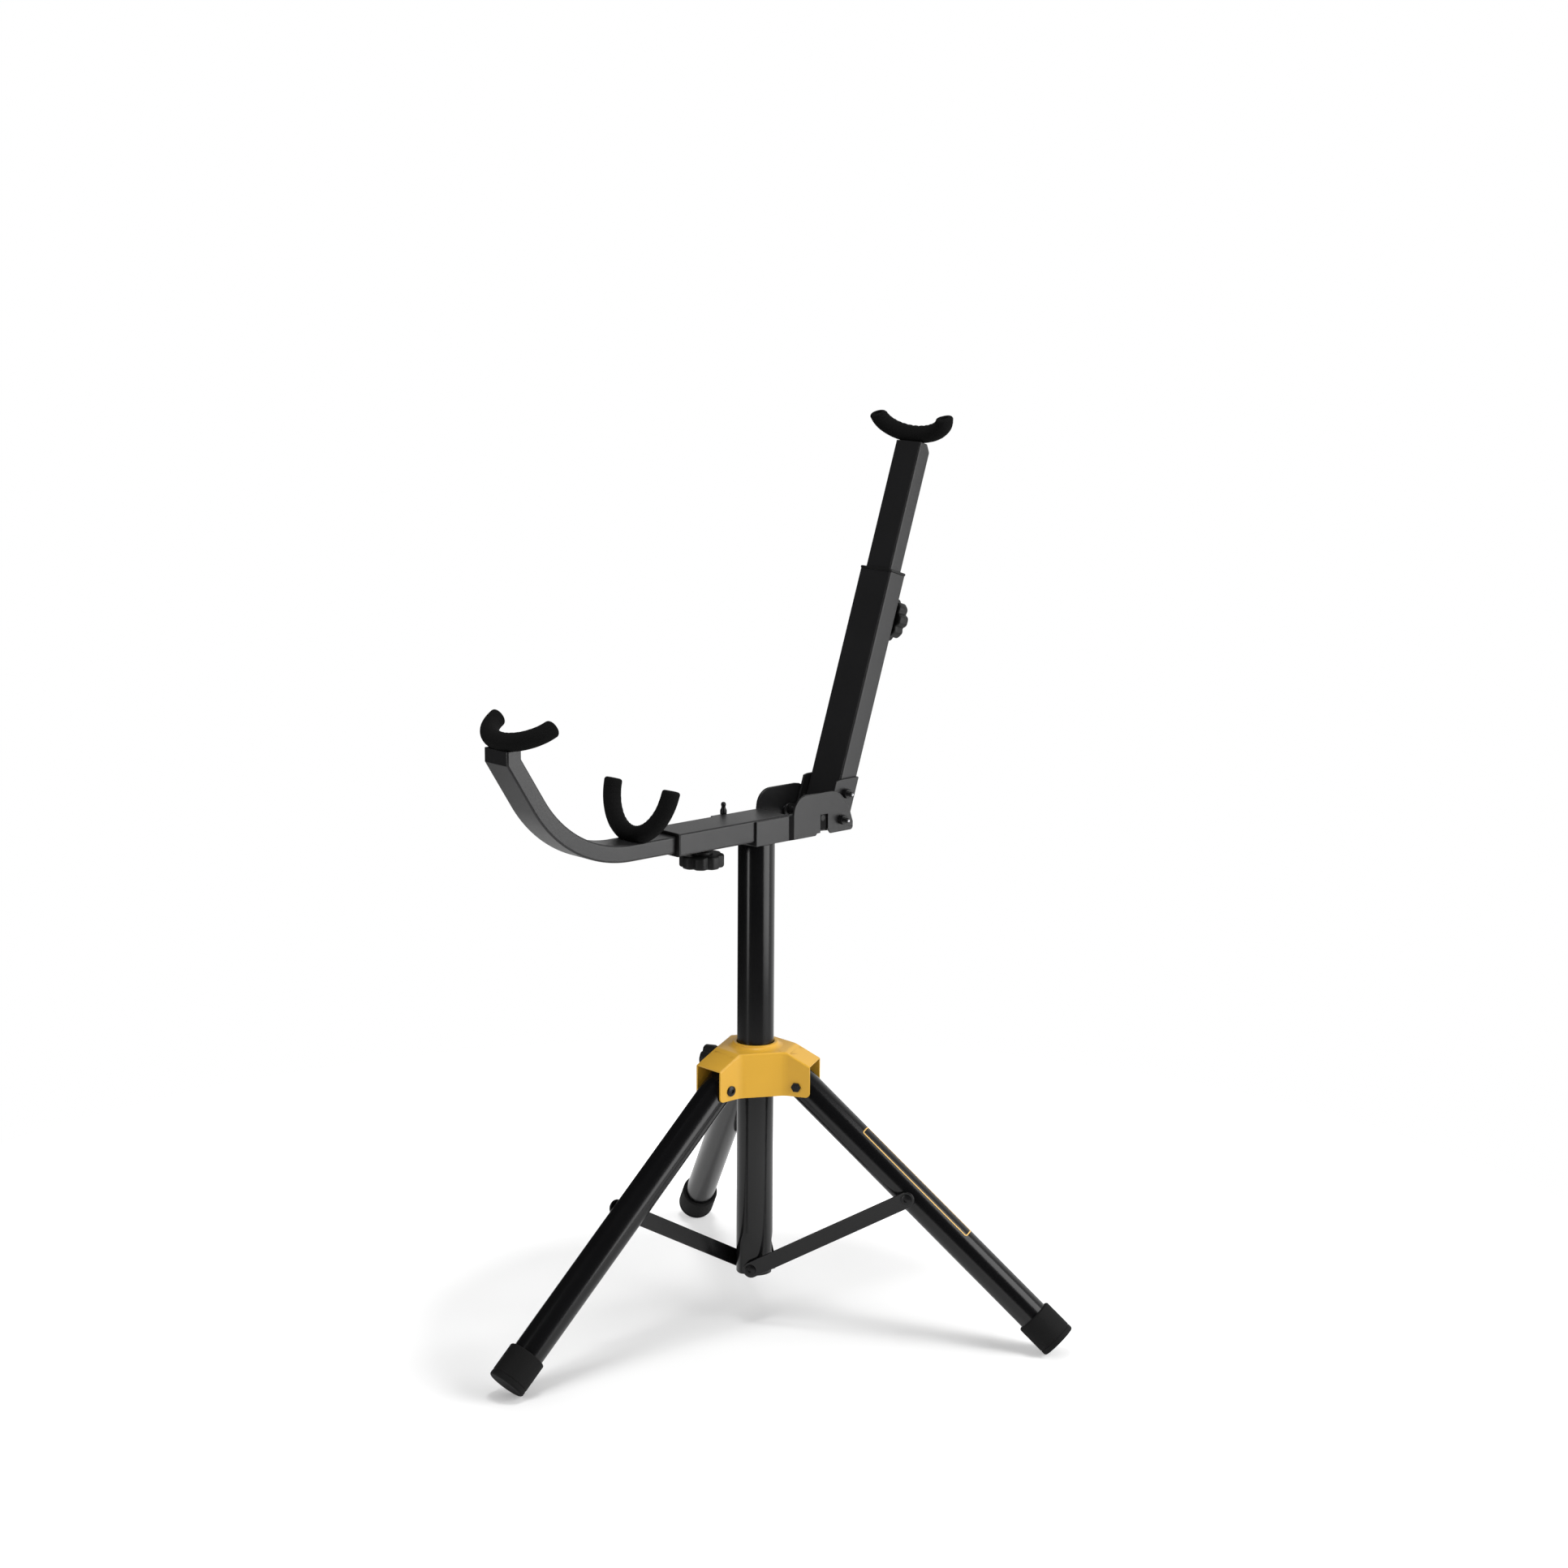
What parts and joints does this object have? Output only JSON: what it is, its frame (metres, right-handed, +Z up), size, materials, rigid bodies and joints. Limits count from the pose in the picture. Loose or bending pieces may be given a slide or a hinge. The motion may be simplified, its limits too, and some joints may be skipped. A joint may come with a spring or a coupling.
{
  "type": "tuba stand",
  "caption": "Folding instrument stand: tripod with sliding hub and braces, curved front arm with two padded cradles, and a leaning telescopic backrest with a padded yoke.",
  "frame": {"origin": "on the floor, at the middle of the bounding box's bottom face", "axes": "+Z up, +X towards the front arm and front leg, +Y to the left of the arm; Y = 0 is the mid plane"},
  "size_m": [0.6312, 0.6614, 1.0407],
  "materials": {
    "gloss_black": "semi-gloss black powder coat",
    "textured_black": "fine-textured dark grey powder coat",
    "hub_yellow": "satin amber paint",
    "foam": "matt black closed-cell foam",
    "rubber": "matt charcoal rubber",
    "plastic": "black moulded plastic",
    "black_steel": "black oxide steel",
    "bright_steel": "zinc-plated steel"
  },
  "bodies": {
    "base": {"center_post": "gloss_black", "post_rivet_front": "black_steel", "post_rivet_left": "black_steel", "post_rivet_right": "black_steel", "hinge_bracket": "textured_black", "socket_tube": "textured_black", "socket_liner": "plastic", "hinge_bolt": "black_steel", "hinge_nut": "black_steel", "backrest_clevis": "textured_black", "stop_pin": "black_steel", "clevis_bolt": "black_steel", "clevis_nut": "black_steel", "side_lug": "textured_black", "side_stud": "black_steel", "arm_clamp_nut": "black_steel"},
    "arm": {"front_arm": "textured_black", "front_arm_plug": "plastic", "front_yoke_rod": "black_steel", "front_yoke_foam": "foam", "middle_yoke_rod": "black_steel", "middle_yoke_foam": "foam"},
    "arm_screw": {"arm_knob": "plastic", "arm_knob_stud": "bright_steel"},
    "lower_backrest": {"backrest_outer_tube": "textured_black", "backrest_liner": "plastic", "backrest_clamp_nut": "black_steel"},
    "backrest_screw": {"backrest_knob": "plastic", "backrest_knob_stud": "bright_steel"},
    "upper_backrest": {"backrest_inner_tube": "textured_black", "backrest_plug": "plastic", "top_yoke_rod": "black_steel", "top_yoke_foam": "foam"},
    "hub": {"tripod_hub": "hub_yellow", "hub_bushing": "plastic", "hub_clamp_nut": "black_steel", "leg_pivot_bolt_front": "black_steel", "leg_pivot_bolt_left": "black_steel", "leg_pivot_bolt_right": "black_steel", "leg_pivot_nut_front": "black_steel", "leg_pivot_nut_left": "black_steel", "leg_pivot_nut_right": "black_steel"},
    "hub_screw": {"hub_knob": "plastic", "hub_knob_stud": "bright_steel"},
    "leg_front": {"leg_front": "gloss_black", "leg_insert_front": "plastic", "foot_front": "rubber"},
    "brace_front": {"brace_front": "gloss_black", "brace_rivet_front": "black_steel"},
    "leg_left": {"leg_left": "gloss_black", "leg_insert_left": "plastic", "foot_left": "rubber"},
    "brace_left": {"brace_left": "gloss_black", "brace_rivet_left": "black_steel"},
    "leg_right": {"leg_right": "gloss_black", "leg_insert_right": "plastic", "foot_right": "rubber"},
    "brace_right": {"brace_right": "gloss_black", "brace_rivet_right": "black_steel"}
  },
  "joints": [
    {"name": "leg_fold_front", "type": "hinge", "parent": "hub", "child": "leg_front", "pos_m": [-0.0062, 0, 0.2903], "axis": [0, 1, 0], "range_deg": [0, 48]},
    {"name": "leg_fold_left", "type": "hinge", "parent": "hub", "child": "leg_left", "pos_m": [-0.08945, 0.04806, 0.2903], "axis": [-0.866, -0.5, 0], "range_deg": [0, 48]},
    {"name": "leg_fold_right", "type": "hinge", "parent": "hub", "child": "leg_right", "pos_m": [-0.08945, -0.04806, 0.2903], "axis": [0.866, -0.5, 0], "range_deg": [0, 48]},
    {"name": "brace_turn_front", "type": "hinge", "parent": "base", "child": "brace_front", "pos_m": [-0.0587, 0, 0.066], "axis": [0, 1, 0], "range_deg": [-45.98, 0]},
    {"name": "brace_turn_left", "type": "hinge", "parent": "base", "child": "brace_left", "pos_m": [-0.0632, 0.0026, 0.066], "axis": [-0.866, -0.5, 0], "range_deg": [-45.98, 0]},
    {"name": "brace_turn_right", "type": "hinge", "parent": "base", "child": "brace_right", "pos_m": [-0.0632, -0.0026, 0.066], "axis": [0.866, -0.5, 0], "range_deg": [-45.98, 0]},
    {"name": "hub_slide", "type": "slide", "parent": "base", "child": "hub", "axis": [0, 0, 1], "range_m": [0, 0.1605]},
    {"name": "arm_slide", "type": "slide", "parent": "base", "child": "arm", "axis": [1, 0, 0], "range_m": [-0.03, 0.07]},
    {"name": "backrest_fold", "type": "hinge", "parent": "base", "child": "lower_backrest", "pos_m": [-0.17235, 0, 0.61371], "axis": [0, 1, 0], "range_deg": [0, 75]},
    {"name": "backrest_extension", "type": "slide", "parent": "lower_backrest", "child": "upper_backrest", "axis": [-0.309, 0, 0.9511], "range_m": [-0.065, 0.095]},
    {"name": "arm_screw_turn", "type": "hinge", "parent": "base", "child": "arm_screw", "pos_m": [0.0203, 0, 0.557], "axis": [0, 0, -1], "range_deg": [0, 360]},
    {"name": "backrest_screw_turn", "type": "hinge", "parent": "lower_backrest", "child": "backrest_screw", "pos_m": [-0.2524, 0, 0.80798], "axis": [-0.9511, 0, -0.309], "range_deg": [0, 360]},
    {"name": "hub_screw_turn", "type": "hinge", "parent": "hub", "child": "hub_screw", "pos_m": [-0.0392, -0.03897, 0.2993], "axis": [0.5, -0.866, 0], "range_deg": [0, 360]}
  ],
  "couplings": [
    {"joint": "leg_fold_left", "follows": "leg_fold_front", "ratio": 1},
    {"joint": "leg_fold_right", "follows": "leg_fold_front", "ratio": 1},
    {"joint": "brace_turn_front", "follows": "leg_fold_front", "ratio": -0.95578},
    {"joint": "brace_turn_left", "follows": "leg_fold_front", "ratio": -0.95578},
    {"joint": "brace_turn_right", "follows": "leg_fold_front", "ratio": -0.95578},
    {"joint": "hub_slide", "follows": "leg_fold_front", "m_per_rad": 0.19095}
  ]
}
